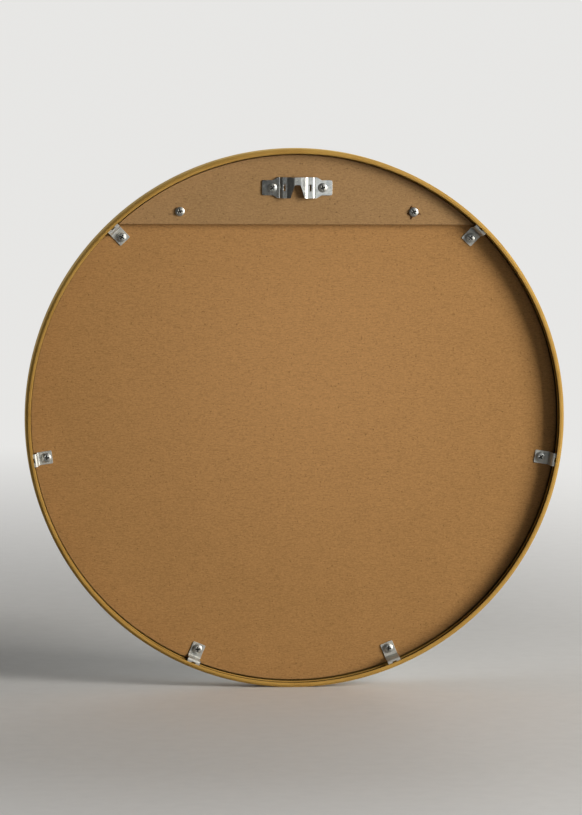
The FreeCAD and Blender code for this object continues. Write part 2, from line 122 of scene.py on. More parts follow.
# Clips: fold line as reach from the screw and height over the panel
CLIP_THICK = 1.0
CLIP_CIRCLE = 233.0
CLIP_FOLDS = np.array([(-5.5, 0.0), (8.591, 0.0), (9.991, 11.85), (14.8, 11.85)])
CLIP_BEND = 1.2
CLIP_HALF_WIDTH = 6.0
CLIP_TAIL_ROUND = 1.0
CLIP_REACH = 14.8
CLIP_TIP_START = 10.9
CLIP_NOTCH_START = 11.6
CLIP_NOTCH_HALF = 2.0
CLIP_STEP = 0.2
CLIP_COLUMNS = 45
CLIP_ROWS = 19
CLIP_BROKEN_EDGE = 0.14
CLIP_ANGLES = {
    "top_left": 44.002,
    "left": 99.0,
    "bottom_left": 157.5,
    "bottom_right": -157.5,
    "right": -99.0,
    "top_right": -44.002,
}

# Pan-head screws: the head's rings lie close together over the recess
HEAD_RADIUS = 4.25
HEAD_HEIGHT = 2.5
HEAD_RIM = 1.65
HEAD_RINGS = np.concatenate([np.linspace(0.0, 2.7, 42), np.linspace(2.8, 4.0, 8)])
RIM_RADII = np.array([4.15, 4.22, 4.25, 4.25, 4.2, 4.1, 2.0])
RIM_LEVELS = np.array([HEAD_RIM + 0.04, HEAD_RIM - 0.07, HEAD_RIM - 0.25, 0.15, 0.03, 0.0, 0.0])
SCREW_TURN_STEPS = 97
RECESS_HALF_SPAN = 2.5
RECESS_HALF_WIDTH = 0.72
RECESS_WALL = 0.42
RECESS_DEPTH = 1.5
SHANK_RADIUS = 1.9
SHANK_ROWS_PER_MM = 5
THREAD_CORE = 1.35
THREAD_PITCH = 1.5
THREAD_START = 0.5
THREAD_RUN_IN = 0.8
POINT_LENGTH = 2.0
BOARD_SCREW_LENGTH = 10.0
PLATE_SCREW_LENGTH = 11.2
CLIP_SCREW_LENGTH = 5.0
BOARD_SCREW_SIDE = 108.3
BOARD_SCREW_LEVEL = 191.8
PLATE_SCREW_SIDE = 23.3
SCREW_TURNS = {
    "board_screw_left": 20.0,
    "board_screw_right": 28.0,
    "plate_screw_left": 45.0,
    "plate_screw_right": 15.0,
    "clip_screw_top_left": 62.0,
    "clip_screw_left": 8.0,
    "clip_screw_bottom_left": 4.0,
    "clip_screw_bottom_right": 84.0,
    "clip_screw_right": 35.0,
    "clip_screw_top_right": 50.0,
}

# Torn fibres: where the board is torn round its right screw, and how far out
TORN_ANGLES = np.radians(np.array([26.0, 107.0, 160.0, 253.0]))
TORN_REACH = np.array([1.7, 2.1, 2.5, 2.3])
TORN_SPREAD = 0.2
TORN_STEPS = 241
COLLAR_WIDTH = 0.25
COLLAR_UNDER_HEAD = 0.4
COLLAR_HEIGHT = 0.1
COLLAR_SLOPE = 0.32
COLLAR_SUNK = 0.05
TEAR_RIPPLE = 0.22
TEAR_RIPPLES = 23
COLLAR_RIPPLE = 0.08
COLLAR_RIPPLES = 31
TUFT_SHARE = 0.3
TUFTS = 17
TUFT_SLANT = 5


# ---------------------------------------------------------------- surfaces

def unit(vectors):
    """Each vector divided by its own length."""
    return vectors / np.linalg.norm(vectors, axis=-1, keepdims=True)


def round_corners(corners, before, after, radius, steps):
    """Circular arcs in place of corners.

    Each arc is a rational quadratic curve from one side of the corner to the other, with the corner as
    its middle control point, weighted by the sine of half the corner's angle. One more point on each
    side keeps the shading of the flats even.
    """
    to_before = unit(before - corners)
    to_after = unit(after - corners)
    cosine = np.clip((to_before * to_after).sum(axis=-1), -0.999999, 0.999999)
    half = 0.5 * np.arccos(cosine)
    cut = (radius / np.tan(half))[:, None, None]
    corner = corners[:, None]
    start = corner + to_before[:, None] * cut
    end = corner + to_after[:, None] * cut
    t = np.linspace(0.0, 1.0, steps)[None, :, None]
    weight = np.sin(half)[:, None, None]
    b0, b1, b2 = (1 - t) ** 2, 2 * t * (1 - t) * weight, t ** 2
    arc = (b0 * start + b1 * corner + b2 * end) / (b0 + b1 + b2)
    first = start + to_before[:, None] * cut * BESIDE_ARC
    last = end + to_after[:, None] * cut * BESIDE_ARC
    return np.concatenate([first, arc, last], axis=1).reshape(-1, 2)


def rounded_outline(corners, radius, steps):
    """A closed outline with an arc at every corner."""
    before = np.roll(corners, 1, axis=0)
    after = np.roll(corners, -1, axis=0)
    return round_corners(corners, before, after, radius, steps)


def rounded_line(corners, radius, steps):
    """An open line with an arc at every corner between its ends."""
    middle = round_corners(corners[1:-1], corners[:-2], corners[2:], radius, steps)
    return np.concatenate([corners[:1], middle, corners[-1:]])


def offset_line(corners, distance):
    """An open line moved sideways to its left.

    Each corner goes along the sum of the normals of its two sides, divided by one plus their product,
    so the sides stay parallel to where they were.
    """
    sides = unit(np.diff(corners, axis=0))
    normals = np.stack([-sides[:, 1], sides[:, 0]], axis=-1)
    first = np.concatenate([normals[:1], normals])
    second = np.concatenate([normals, normals[-1:]])
    product = (first * second).sum(axis=-1, keepdims=True)
    return corners + distance * (first + second) / (1 + product)


def run_along(line):
    """The distance of each point of a line from its start, along the line."""
    return np.concatenate([[0.0], np.cumsum(np.linalg.norm(np.diff(line, axis=0), axis=-1))])


def even_places(run, wanted, least):
    """Places along a line: the wanted ones, each moved to the nearest of many even steps.

    The step is about the least distance, so no two places come closer than that.
    """
    step = run[-1] / round(run[-1] / least)
    return np.unique(np.round(wanted / step)) * step


def lay_surface(name, points, marks=None, keep=None):
    """A mesh piece from a grid of points in millimetres.

    Every four neighbours on the grid make a face, unless keep leaves that face out. Points that meet are
    merged, which closes seams and poles, and the faces are turned outwards. Marks are places on the
    surface for its finish to follow, in millimetres along the two directions of the grid.
    """
    rows, columns = points.shape[:2]
    r, c = np.meshgrid(np.arange(rows - 1), np.arange(columns - 1), indexing="ij")
    corner = r * columns + c
    faces = np.stack([corner, corner + 1, corner + columns + 1, corner + columns], axis=-1)
    faces = faces.reshape(-1, 4) if keep is None else faces[keep]
    used, index = np.unique(faces, return_inverse=True)
    faces = index.reshape(-1, 4)
    mesh = bpy.data.meshes.new(name)
    mesh.from_pydata((points.reshape(-1, 3)[used] * MM).tolist(), [], faces.tolist())
    if marks is not None:
        layer = mesh.uv_layers.new(name="surface")
        layer.data.foreach_set("uv", (marks.reshape(-1, 2)[used] * MM)[faces.ravel()].ravel())
    work = bmesh.new()
    work.from_mesh(mesh)
    bmesh.ops.remove_doubles(work, verts=work.verts, dist=1e-7)
    bmesh.ops.recalc_face_normals(work, faces=work.faces)
    work.to_mesh(mesh)
    work.free()
    mesh.polygons.foreach_set("use_smooth", np.ones(len(mesh.polygons), dtype=bool))
    piece = bpy.data.objects.new(name, mesh)
    bpy.context.scene.collection.objects.link(piece)
    return piece


def turned(radius, level, angle):
    """Points at a radius, level and angle: the angle starts at the top and goes towards +X."""
    return np.stack([radius * np.sin(angle), level, radius * np.cos(angle)], axis=-1)


def sheet_metal(piece, thick, edge):
    """Gives a folded sheet its thickness, half to each side, and breaks its sheared edges."""
    wall = piece.modifiers.new("thickness", "SOLIDIFY")
    wall.thickness = thick * MM
    wall.offset = 0.0
    wall.use_even_offset = True
    broken = piece.modifiers.new("broken_edge", "BEVEL")
    broken.width = edge * MM
    broken.segments = 2
    broken.limit_method = "ANGLE"
    broken.angle_limit = SHEARED_ANGLE
    broken.harden_normals = True


def ring_piece():
    """The ring: its section carried once round the axis.

    The section's corners are given as radius, level and round. At the bottom, where the ends of the bar
    meet, the section shrinks along its own normals by a narrow bell curve of the distance from the joint,
    which leaves a fine seam.
    """
    section = np.array([
        (LIP_RADIUS, FRONT_LEVEL, LIP_EDGE_ROUND),
        (RING_RADIUS, FRONT_LEVEL, RING_EDGE_ROUND),
        (RING_RADIUS, BACK_LEVEL - BACK_SLOPE_DROP, BACK_SLOPE_FOOT_ROUND),
        (RING_RADIUS - BACK_SLOPE_WIDTH, BACK_LEVEL, BACK_SLOPE_TOP_ROUND),
        (FLANGE_RADIUS, BACK_LEVEL, FLANGE_EDGE_ROUND),
        (FLANGE_RADIUS, FLANGE_UNDER, FLANGE_UNDER_ROUND),
        (WALL_RADIUS, FLANGE_UNDER, INNER_ROUND),
        (WALL_RADIUS, RIB_TOP, INNER_ROUND),
        (RIB_RADIUS, RIB_TOP, INNER_ROUND),
        (RIB_RADIUS, RIB_UNDER, INNER_ROUND),
        (WALL_RADIUS, RIB_UNDER, INNER_ROUND),
        (WALL_RADIUS, SEAT_TOP, INNER_ROUND),
        (RIB_RADIUS, SEAT_TOP, INNER_ROUND),
        (RIB_RADIUS, GLASS_FRONT, GLASS_SEAT_ROUND),
        (LIP_RADIUS, GLASS_FRONT, INNER_ROUND),
    ])
    line = rounded_outline(section[:, :2], section[:, 2], steps=7)
    along = unit(np.roll(line, -1, axis=0) - np.roll(line, 1, axis=0))
    inward = np.stack([-along[:, 1], along[:, 0]], axis=-1)
    line = np.concatenate([line, line[:1]])
    inward = np.concatenate([inward, inward[:1]])
    close = np.pi + np.linspace(-SEAM_REACH, SEAM_REACH, SEAM_STEPS) / RING_RADIUS
    angle = np.union1d(np.linspace(0.0, 2 * np.pi, RING_STEPS), close)
    dip = SEAM_DEPTH * np.exp(-((angle - np.pi) * RING_RADIUS / SEAM_WIDTH) ** 2)
    place = line[None] + inward[None] * dip[:, None, None]
    points = turned(place[..., 0], place[..., 1], np.broadcast_to(angle[:, None], place.shape[:2]))
    marks = np.stack(np.broadcast_arrays(angle[:, None] * RING_RADIUS, run_along(line)[None]), axis=-1)
    return lay_surface("frame_ring_skin", points, marks)


def panel_piece():
    """The back panel: a flat face, a broken edge and a straight side, turned about the axis."""
    face_radius = np.linspace(0.0, PANEL_FLAT_END, 8)
    face = np.stack([face_radius, np.full_like(face_radius, PANEL_BACK)], axis=-1)
    edge = rounded_line(
        np.array([
            (PANEL_EDGE_START, PANEL_BACK),
            (PANEL_RADIUS - PANEL_EDGE, PANEL_BACK),
            (PANEL_RADIUS, PANEL_BACK - PANEL_EDGE),
            (PANEL_RADIUS, PANEL_FRONT),
            (0.0, PANEL_FRONT),
        ]),
        PANEL_ROUNDS,
        steps=4,
    )
    line = np.concatenate([face, edge])
    angle = np.linspace(0.0, 2 * np.pi, PANEL_STEPS)
    radius, angles = np.broadcast_arrays(line[None, :, 0], angle[:, None])
    level = np.broadcast_to(line[None, :, 1], radius.shape)
    return lay_surface("back_panel_skin", turned(radius, level, angles))


def board_piece():
    """The hanger board: outlines of a disc's segment inside each other.

    An outline at an inset is the arc of the smaller disc and the chord moved up by the same inset, and
    the inset and the level follow the board's section over its softened edge.
    """
    middle = (BOARD_RADIUS - BOARD_CHORD) / 2
    face = np.array([middle, *BOARD_FACE_INSETS])
    bend = np.linspace(0.0, np.pi / 2, 5)
    edge = BOARD_EDGE_ROUND * (1 - np.sin(bend))
    inset = np.concatenate([face, edge, [0.0, 0.0, BOARD_FOOT_EDGE, middle]])
    level = np.concatenate([
        np.full_like(face, BOARD_BACK),
        BOARD_BACK - BOARD_EDGE_ROUND * (1 - np.cos(bend)),
        [BOARD_BACK - BOARD_SIDE_START, PANEL_BACK + BOARD_FOOT_EDGE, PANEL_BACK, PANEL_BACK],
    ])
    disc = (BOARD_RADIUS - inset)[:, None]
    chord = (BOARD_CHORD + inset)[:, None]
    opening = np.arccos(np.clip(chord / disc, -1.0, 1.0))
    arc = np.linspace(-1.0, 1.0, BOARD_ARC_STEPS)[None] * opening
    straight = np.linspace(1.0, -1.0, BOARD_CHORD_STEPS)[None] * disc * np.sin(opening)
    across = np.concatenate([disc * np.sin(arc), straight], axis=1)
    up = np.concatenate([disc * np.cos(arc), np.broadcast_to(chord, straight.shape)], axis=1)
    points = np.stack(np.broadcast_arrays(across, level[:, None], up), axis=-1)
    return lay_surface("hanger_board_skin", points)


def plate_piece():
    """The hanger plate: a sheet folded along one line, with a lower and an upper edge all along it.

    The middle of the sheet follows the fold line, half the thickness over its underside. The ears and
    the strips beside the crown lean a little. Rows divide the height between the lower edge, which rises
    over the notch, and the upper edge. The slots are faces left out.
    """
    folds = np.concatenate([PLATE_FOLDS * np.array([-1.0, 1.0]), PLATE_FOLDS[::-1]])
    bend = np.array([PLATE_BEND] * 3 + [FLANK_BEND, CROWN_BEND]) + PLATE_THICK / 2
    bend = np.concatenate([bend, bend[::-1]])
    line = rounded_line(offset_line(folds, PLATE_THICK / 2), bend, steps=9)
    run = run_along(line)
    notch = rounded_line(NOTCH_OUTLINE, NOTCH_ROUND, steps=7)
    marks = np.concatenate([
        notch[:, 0],
        np.array([SLOT_IN, SLOT_OUT, EAR_TAPER_START, EAR_START]),
        PLATE_END - EAR_ROUND * (1 - np.sin(np.linspace(0.0, np.pi / 2, 7))),
    ])
    marks = np.interp(np.concatenate([marks, -marks]), line[:, 0], run)
    wanted = np.concatenate([run, np.linspace(0.0, run[-1], PLATE_COLUMNS), marks])
    place = even_places(run, wanted, PLATE_STEP)
    side = np.interp(place, run, line[:, 0])
    from_middle = np.abs(side)
    ear_lift = (PLATE_END - EAR_FOOT) * math.tan(EAR_LEAN)
    strip_lift = (PLATE_FOLDS[2, 0] - PLATE_FOLDS[3, 0]) * math.tan(STRIP_LEAN)
    level = BOARD_BACK + np.interp(place, run, line[:, 1]) + np.interp(
        from_middle,
        [PLATE_FOLDS[4, 0], PLATE_FOLDS[3, 0], PLATE_FOLDS[2, 0], EAR_FOOT, PLATE_END],
        [0.0, strip_lift, 0.0, ear_lift, 0.0],
    )
    upper = np.interp(from_middle, [EAR_TAPER_START, EAR_START], [PLATE_HALF_HEIGHT, EAR_HALF_HEIGHT])
    past = np.clip(from_middle - PLATE_END + EAR_ROUND, 0.0, EAR_ROUND)
    upper = upper - EAR_ROUND + np.sqrt(EAR_ROUND ** 2 - past ** 2)
    in_notch = from_middle < NOTCH_OUTLINE[-1, 0]
    lower = np.where(in_notch, np.interp(side, notch[:, 0], notch[:, 1]), -upper)
    slot_rows = (PLATE_HALF_HEIGHT + np.array([-SLOT_HALF, SLOT_HALF])) / (2 * PLATE_HALF_HEIGHT)
    share = np.union1d(np.linspace(0.0, 1.0, PLATE_ROWS), slot_rows)
    height = lower[:, None] + (upper - lower)[:, None] * share[None]
    points = np.stack(np.broadcast_arrays(side[:, None], level[:, None], PLATE_LEVEL + height), axis=-1)
    mid_side = np.abs(side[1:] + side[:-1]) / 2
    mid_share = (share[1:] + share[:-1]) / 2
    slot_side = (mid_side > SLOT_IN) & (mid_side < SLOT_OUT)
    slot_share = (mid_share > slot_rows[0]) & (mid_share < slot_rows[1])
    piece = lay_surface("hanger_plate_skin", points, keep=~(slot_side[:, None] & slot_share[None]))
    sheet_metal(piece, PLATE_THICK, PLATE_BROKEN_EDGE)
    return piece


def clip_piece(side):
    """An offset clip: a strip folded up from the panel and out under the ring's flange.

    The middle of the sheet follows the fold line. The strip narrows over the rounded corners of its tail,
    and the last flat is stretched so that its end is an arc about the screw. The notch in the tip is
    faces left out.
    """
    line = rounded_line(offset_line(CLIP_FOLDS, CLIP_THICK / 2), CLIP_BEND + CLIP_THICK / 2, steps=8)
    run = run_along(line)
    tail = CLIP_TAIL_ROUND * (1 - np.cos(np.linspace(0.0, np.pi / 2, 6)))
    flat = run[-1] - (CLIP_REACH - np.array([CLIP_TIP_START, CLIP_NOTCH_START]))
    wanted = np.concatenate([run, np.linspace(0.0, run[-1], CLIP_COLUMNS), tail, flat])
    place = even_places(run, wanted, CLIP_STEP)
    reach = np.interp(place, run, line[:, 0])[:, None]
    level = np.interp(place, run, line[:, 1])[:, None]
    back = np.clip(line[0, 0] + CLIP_TAIL_ROUND - reach, 0.0, CLIP_TAIL_ROUND)
    half = CLIP_HALF_WIDTH - CLIP_TAIL_ROUND + np.sqrt(CLIP_TAIL_ROUND ** 2 - back ** 2)
    notch_share = CLIP_NOTCH_HALF / CLIP_HALF_WIDTH
    share = np.union1d(np.linspace(-1.0, 1.0, CLIP_ROWS), [-notch_share, notch_share])[None]
    across = half * share
    end = np.sqrt(CLIP_REACH ** 2 - across ** 2)
    stretch = (end - CLIP_TIP_START) / (CLIP_REACH - CLIP_TIP_START)
    out = np.where(reach > CLIP_TIP_START, CLIP_TIP_START + (reach - CLIP_TIP_START) * stretch, reach)
    mid_reach = (reach[1:, 0] + reach[:-1, 0]) / 2
    mid_share = np.abs(share[0, 1:] + share[0, :-1]) / 2
    keep = ~((mid_reach > CLIP_NOTCH_START)[:, None] & (mid_share < notch_share)[None])
    angle = math.radians(CLIP_ANGLES[side])
    radius = CLIP_CIRCLE + out
    points = np.stack(
        np.broadcast_arrays(
            radius * math.sin(angle) - across * math.cos(angle),
            PANEL_BACK + level,
            radius * math.cos(angle) + across * math.sin(angle),
        ),
        axis=-1,
    )
    piece = lay_surface("clip_" + side + "_skin", points, keep=keep)
    sheet_metal(piece, CLIP_THICK, CLIP_BROKEN_EDGE)
    return piece


def screw_piece(name, length, place):
    """A pan-head screw along Y, turned about its axis by its own angle.

    The head is a shallow dome over a rounded rim. The recess sinks by a smooth step of the distance
    inside a cross of two bars. Under the head the radius swings between core and crest of the thread with
    the depth plus the turn about the axis, and shrinks to nothing at the point.
    """
    angle = np.linspace(0.0, 2 * np.pi, SCREW_TURN_STEPS)[:, None]
    rise = HEAD_HEIGHT - HEAD_RIM
    dome = (HEAD_RADIUS ** 2 + rise ** 2) / (2 * rise)
    top = HEAD_HEIGHT - dome + np.sqrt(dome ** 2 - HEAD_RINGS ** 2)
    turned_by = angle - math.radians(SCREW_TURNS[name])
    u = np.abs(HEAD_RINGS * np.sin(turned_by))
    v = np.abs(HEAD_RINGS * np.cos(turned_by))
    bar = np.maximum(u - RECESS_HALF_SPAN, v - RECESS_HALF_WIDTH)
    other_bar = np.maximum(v - RECESS_HALF_SPAN, u - RECESS_HALF_WIDTH)
    inside = np.clip(-np.minimum(bar, other_bar) / RECESS_WALL, 0.0, 1.0)
    sink = RECESS_DEPTH * inside ** 2 * (3 - 2 * inside)
    head = np.concatenate([HEAD_RINGS, RIM_RADII])
    head_radius = np.broadcast_to(head, (len(angle), len(head)))
    rim_level = np.broadcast_to(RIM_LEVELS, (len(angle), len(RIM_LEVELS)))
    head_level = np.concatenate([top - sink, rim_level], axis=1)
    depth = np.linspace(0.0, length, int(length * SHANK_ROWS_PER_MM) + 1)[None]
    turns = depth / THREAD_PITCH + angle / (2 * np.pi)
    ridge = np.clip(1 - 4 * np.abs(turns % 1.0 - 0.5), 0.0, 1.0)
    thread = THREAD_CORE + (SHANK_RADIUS - THREAD_CORE) * ridge
    threaded = np.clip((depth - THREAD_START) / THREAD_RUN_IN, 0.0, 1.0)
    point = np.clip((length - depth) / POINT_LENGTH, 0.0, 1.0)
    shank = (SHANK_RADIUS * (1 - threaded) + thread * threaded) * point
    radius = np.concatenate([head_radius, shank], axis=1)
    level = np.concatenate([head_level, np.broadcast_to(-depth, shank.shape)], axis=1)
    points = turned(radius, level, np.broadcast_to(angle, radius.shape)) + np.array(place)
    sunk = np.concatenate([sink, np.zeros((len(angle), points.shape[1] - len(HEAD_RINGS)))], axis=1)
    marks = np.stack([sunk, np.zeros_like(sunk)], axis=-1)
    return lay_surface(name + "_skin", points, marks)


def torn_fibres_piece(place):
    """Fibres torn up round a screw: a ragged collar on the board.

    Its width at an angle is a sum of bell curves about the places where the board is torn, with a fine
    ripple, and its height is a half sine across that width, rippled into tufts, with a flat underside.
    """
    angle = np.linspace(0.0, 2 * np.pi, TORN_STEPS)[:, None]
    apart = (angle - TORN_ANGLES + np.pi) % (2 * np.pi) - np.pi
    torn = (TORN_REACH * np.exp(-(apart / TORN_SPREAD) ** 2)).sum(axis=1, keepdims=True)
    ragged = torn * (1 + TEAR_RIPPLE * np.sin(TEAR_RIPPLES * angle))
    width = COLLAR_WIDTH + ragged + COLLAR_RIPPLE * np.sin(COLLAR_RIPPLES * angle)
    upper = np.linspace(0.0, 1.0, 9)
    share = np.concatenate([upper, [0.5, 0.0]])[None]
    radius = HEAD_RADIUS - COLLAR_UNDER_HEAD + (width + COLLAR_UNDER_HEAD) * share
    tufts = 1 + TUFT_SHARE * np.sin(TUFTS * angle + TUFT_SLANT * share)
    rise = (COLLAR_HEIGHT + COLLAR_SLOPE * width) * np.sin(np.pi * share) * tufts
    rise[:, len(upper):] = [-COLLAR_SUNK, 0.0]
    points = turned(radius, rise, np.broadcast_to(angle, radius.shape)) + np.array(place)
    return lay_surface("torn_board_fibres", points)


# ---------------------------------------------------------------- finishes

EVEN = (1.0, 1.0, 1.0)
ABOUT_AXIS = (1.0, 0.0, 1.0)
ACROSS_FLOOR = (1.0, 1.0, 0.0)

GOLD_DEEP = (0.6, 0.405, 0.118, 1.0)
GOLD_PALE = (0.71, 0.5, 0.164, 1.0)
GOLD_HANDLED = (0.5, 0.32, 0.085, 1.0)
# Painted shade for the ring's channel under the rib and the rib's top behind its crest.
PAINTED_SHADE_DARK = (0.02, 0.012, 0.005, 1.0)
PAINTED_SHADE_FADE = 0.1
WALL_FADE = (0.2494, 0.249)
CREST_FADE = (0.2458, 0.2462)
ZINC_COOL = (0.50, 0.515, 0.50, 1.0)
ZINC_WARM = (0.66, 0.645, 0.585, 1.0)
ZINC_DULL = (0.40, 0.415, 0.40, 1.0)
# Painted shade for the bottom of the screws' cross recess.
RECESS_PAINTED_SHADE = (0.05, 0.045, 0.035, 1.0)
SILVER_HAZY = (0.88, 0.905, 0.895, 1.0)
SILVER_CLEAR = (0.9, 0.92, 0.91, 1.0)
CROSS_FIBRES_TURN = 1.25
# Where the painted pool of light on the back panel is centred.
PAINTED_LIGHT_SHIFT = (0.01, 0.0, -0.06)
SPECK_SHARE = 0.4


def seen(red, green, blue):
    """A colour as it is seen, from 0 to 255, turned into amounts of light."""
    share = np.array([red, green, blue]) / 255.0
    light = np.where(share <= 0.04045, share / 12.92, ((share + 0.055) / 1.055) ** 2.4)
    return (*light.tolist(), 1.0)


def finish(name):
    """An empty finish: the material, its nodes and its shader."""
    material = bpy.data.materials.new(name)
    material.use_nodes = True
    tree = material.node_tree
    return material, tree, tree.nodes["Principled BSDF"]


def node(tree, kind, settings, sockets):
    """A node with its settings. A socket given an output is linked to it, and any other gets the value."""
    made = tree.nodes.new("ShaderNode" + kind)
    for key, value in settings.items():
        setattr(made, key, value)
    for key, value in sockets.items():
        if isinstance(value, bpy.types.NodeSocket):
            tree.links.new(value, made.inputs[key])
        else:
            made.inputs[key].default_value = value
    return made


def place_on(tree, scale, map_name=None, turn=(0.0, 0.0, 0.0), shift=(0.0, 0.0, 0.0)):
    """Places on the piece for a pattern: its own coordinates, or its surface map, stretched by scale."""
    if map_name is None:
        source = node(tree, "TexCoord", {}, {}).outputs["Object"]
    else:
        source = node(tree, "UVMap", {"uv_map": map_name}, {}).outputs["UV"]
    sockets = {"Vector": source, "Location": shift, "Rotation": turn, "Scale": scale}
    return node(tree, "Mapping", {}, sockets).outputs["Vector"]


def grain(tree, vector, scale, detail=3.0, roughness=0.6, distortion=0.0):
    """Noise between 0 and 1 at a place."""
    sockets = {"Vector": vector, "Scale": scale, "Detail": detail}
    sockets.update({"Roughness": roughness, "Distortion": distortion})
    return node(tree, "TexNoise", {}, sockets).outputs["Fac"]


def spread(tree, value, given, wanted):
    """A value moved from a given range to a wanted one and held there."""
    sockets = {"Value": value, "From Min": given[0], "From Max": given[1]}
    sockets.update({"To Min": wanted[0], "To Max": wanted[1]})
    return node(tree, "MapRange", {}, sockets).outputs["Result"]


def combined(tree, operation, first, second):
    """Two values added, multiplied, or the larger of both."""
    return node(tree, "Math", {"operation": operation}, {0: first, 1: second}).outputs[0]


def distance_of(tree, place):
    """How far a place lies from the origin."""
    return node(tree, "VectorMath", {"operation": "LENGTH"}, {0: place}).outputs["Value"]


def measure(tree, place, axis):
    """One of the three measures of a place."""
    return node(tree, "SeparateXYZ", {}, {0: place}).outputs[axis]


def tint(tree, factor, first, second):
    """Two colours blended by a factor."""
    return node(tree, "Mix", {"data_type": "RGBA"}, {0: factor, 6: first, 7: second}).outputs[2]


def shade(tree, colour, share):
    """A colour made darker or lighter by a share."""
    return node(tree, "VectorMath", {"operation": "SCALE"}, {0: colour, "Scale": share}).outputs["Vector"]


def relief(tree, height, strength, distance):
    """Fine relief from a height, over the shape itself."""
    sockets = {"Height": height, "Strength": strength, "Distance": distance}
    return node(tree, "Bump", {}, sockets).outputs["Normal"]


def fibreboard(name, pale, dark, turn, painted_light_middle=None):
    """Raw sanded fibreboard: soft clouds, matted short fibres and small dark specks.

    Where a lighter middle colour is given, it is painted light: a pool of light over the middle that fades
    out with the distance from a place there.
    """
    material, tree, shader = finish(name)
    even = place_on(tree, EVEN)
    clouds = spread(tree, grain(tree, even, 22.0, detail=5.0), (0.3, 0.7), (0.0, 1.0))
    fluff = grain(tree, even, 520.0, detail=5.0, roughness=0.72)
    lengthwise = place_on(tree, (260.0, 260.0, 1500.0), turn=turn)
    fibres = grain(tree, lengthwise, 1.0, detail=4.0, roughness=0.65, distortion=0.8)
    cross_turn = (turn[0], turn[1] + CROSS_FIBRES_TURN, turn[2])
    crosswise = place_on(tree, (300.0, 300.0, 1700.0), turn=cross_turn)
    cross = grain(tree, crosswise, 1.0, detail=4.0, roughness=0.65, distortion=0.8)
    matted = spread(tree, combined(tree, "ADD", fibres, cross), (0.7, 1.3), (0.0, 1.0))
    specks = grain(tree, even, 430.0, detail=2.0, roughness=0.5)
    specks = spread(tree, specks, (0.65, 0.74), (0.0, 0.6))
    base = tint(tree, clouds, dark, pale)
    # Painted light: the middle is made lighter, fading outwards, as if more light falls there.
    if painted_light_middle is not None:
        away = distance_of(tree, place_on(tree, ABOUT_AXIS, shift=PAINTED_LIGHT_SHIFT))
        base = tint(tree, spread(tree, away, (0.05, 0.23), (1.0, 0.0)), base, painted_light_middle)
    lighter = shade(tree, base, 1.36)
    darker = shade(tree, base, 0.6)
    base = tint(tree, spread(tree, fluff, (0.36, 0.64), (0.0, 0.66)), base, lighter)
    base = tint(tree, spread(tree, matted, (0.1, 0.6), (0.6, 0.0)), base, darker)
    base = tint(tree, specks, base, tuple(SPECK_SHARE * c for c in dark[:3]) + (1.0,))
    tree.links.new(base, shader.inputs["Base Color"])
    tree.links.new(spread(tree, fluff, (0.2, 0.8), (0.92, 0.74)), shader.inputs["Roughness"])
    height = combined(tree, "ADD", fluff, matted)
    tree.links.new(relief(tree, height, strength=0.3, distance=0.0002), shader.inputs["Normal"])
    shader.inputs["Specular IOR Level"].default_value = 0.25
    return material


def satin_gold(name):
    """Gold-coloured satin metal, brushed along the ring: streaks follow the surface map.

    The channel under the rib and the rib's top behind its crest are painted dark: painted shade.
    """
    material, tree, shader = finish(name)
    streaks = grain(tree, place_on(tree, (5.0, 2200.0, 1.0), "surface"), 1.0, detail=4.0)
    broad = grain(tree, place_on(tree, (3.0, 420.0, 1.0), "surface"), 1.0)
    even = place_on(tree, EVEN)
    handled = grain(tree, even, 34.0, detail=4.0)
    base = tint(tree, spread(tree, streaks, (0.3, 0.7), (0.0, 1.0)), GOLD_DEEP, GOLD_PALE)
    base = tint(tree, spread(tree, handled, (0.45, 0.75), (0.0, 0.35)), base, GOLD_HANDLED)
    radius = distance_of(tree, place_on(tree, ABOUT_AXIS))
    level = measure(tree, even, "Y")
    inside = spread(tree, radius, WALL_FADE, (0.0, 1.0))
    past_crest = spread(tree, radius, CREST_FADE, (0.0, 1.0))
    shaded_groove = combined(tree, "MULTIPLY", inside, past_crest)
    # Painted shade: the channel under the rib and the rib's top behind its crest are darkened, as dark
    # lines of shade between flange, rib and panel.
    for where, low, high, amount in (
        (inside, SEAT_TOP, RIB_UNDER, 0.97),
        (shaded_groove, RIB_TOP - 0.2, RIB_TOP + 0.6, 0.75),
    ):
        low_fade = ((low - PAINTED_SHADE_FADE) * MM, (low + PAINTED_SHADE_FADE) * MM)
        high_fade = ((high + PAINTED_SHADE_FADE) * MM, (high - PAINTED_SHADE_FADE) * MM)
        over = spread(tree, level, low_fade, (0.0, amount))
        under = spread(tree, level, high_fade, (0.0, 1.0))
        painted_shade = combined(tree, "MULTIPLY", combined(tree, "MULTIPLY", over, under), where)
        base = tint(tree, painted_shade, base, PAINTED_SHADE_DARK)
    tree.links.new(base, shader.inputs["Base Color"])
    brushed = spread(tree, streaks, (0.25, 0.75), (0.85, 0.92))
    worn = spread(tree, handled, (0.4, 0.7), (0.0, 0.06))
    tree.links.new(combined(tree, "ADD", brushed, worn), shader.inputs["Roughness"])
    height = combined(tree, "ADD", streaks, broad)
    tree.links.new(relief(tree, height, strength=0.06, distance=0.00004), shader.inputs["Normal"])
    shader.inputs["Metallic"].default_value = 1.0
    return material


